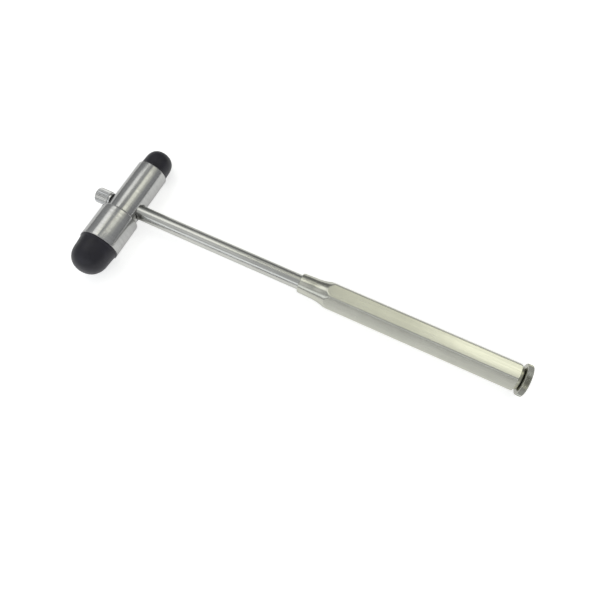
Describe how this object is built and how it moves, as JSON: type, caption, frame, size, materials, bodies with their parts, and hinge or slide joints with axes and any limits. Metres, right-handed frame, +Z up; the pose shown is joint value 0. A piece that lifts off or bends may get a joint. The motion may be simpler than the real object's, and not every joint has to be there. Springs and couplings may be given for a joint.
{
  "type": "reflex hammer",
  "caption": "Neurological reflex hammer: two rubber bumpers on a stepped steel head, six-sided handle, screw-in needle in the head and brush in the handle.",
  "frame": {"origin": "middle of the bottom of the whole hammer's box; the shaft axis and the head axis cross 8.20 mm above it, 79.58 mm towards the head end", "axes": "+X along the shaft and handle towards the knurled brush cap, +Y along the head towards the small bumper, +Z up"},
  "size_m": [0.187, 0.0632, 0.0164],
  "materials": {
    "head_steel": "fine turned and brushed stainless steel, satin",
    "shaft_steel": "drawn and polished stainless steel",
    "handle_steel": "lengthwise brushed stainless steel",
    "bush_steel": "turned stainless steel",
    "knurled_steel": "straight knurled stainless steel",
    "thread_steel": "machined stainless steel",
    "needle_steel": "bright drawn stainless steel",
    "bumper_rubber": "matte moulded",
    "ring_rubber": "smooth",
    "bristle": "soft fibre"
  },
  "bodies": {
    "hammer": {"head_body": "head_steel", "large_bumper": "bumper_rubber", "small_bumper": "bumper_rubber", "shaft": "shaft_steel", "handle_body": "handle_steel", "handle_end_bush": "bush_steel"},
    "needle_slider": {"needle": "needle_steel"},
    "needle_turner": {"needle_knob": "knurled_steel", "needle_shank": "thread_steel", "needle_seal_ring": "ring_rubber"},
    "brush_slider": {"brush_stem": "needle_steel"},
    "brush_turner": {"brush_cap": "knurled_steel", "brush_plug": "thread_steel", "brush_ferrule": "bush_steel", "brush_bristles": "bristle"}
  },
  "joints": [
    {"name": "needle_draw", "type": "slide", "parent": "hammer", "child": "needle_slider", "axis": [-1, 0, 0], "range_m": [0, 0.046]},
    {"name": "needle_knob_turn", "type": "hinge", "parent": "needle_slider", "child": "needle_turner", "pos_m": [-0.08958, 0.00195, 0.0082], "axis": [-1, 0, 0], "continuous": true},
    {"name": "brush_draw", "type": "slide", "parent": "hammer", "child": "brush_slider", "axis": [1, 0, 0], "range_m": [0, 0.043]},
    {"name": "brush_cap_turn", "type": "hinge", "parent": "brush_slider", "child": "brush_turner", "pos_m": [0.09242, 0.00195, 0.0082], "axis": [1, 0, 0], "continuous": true}
  ]
}
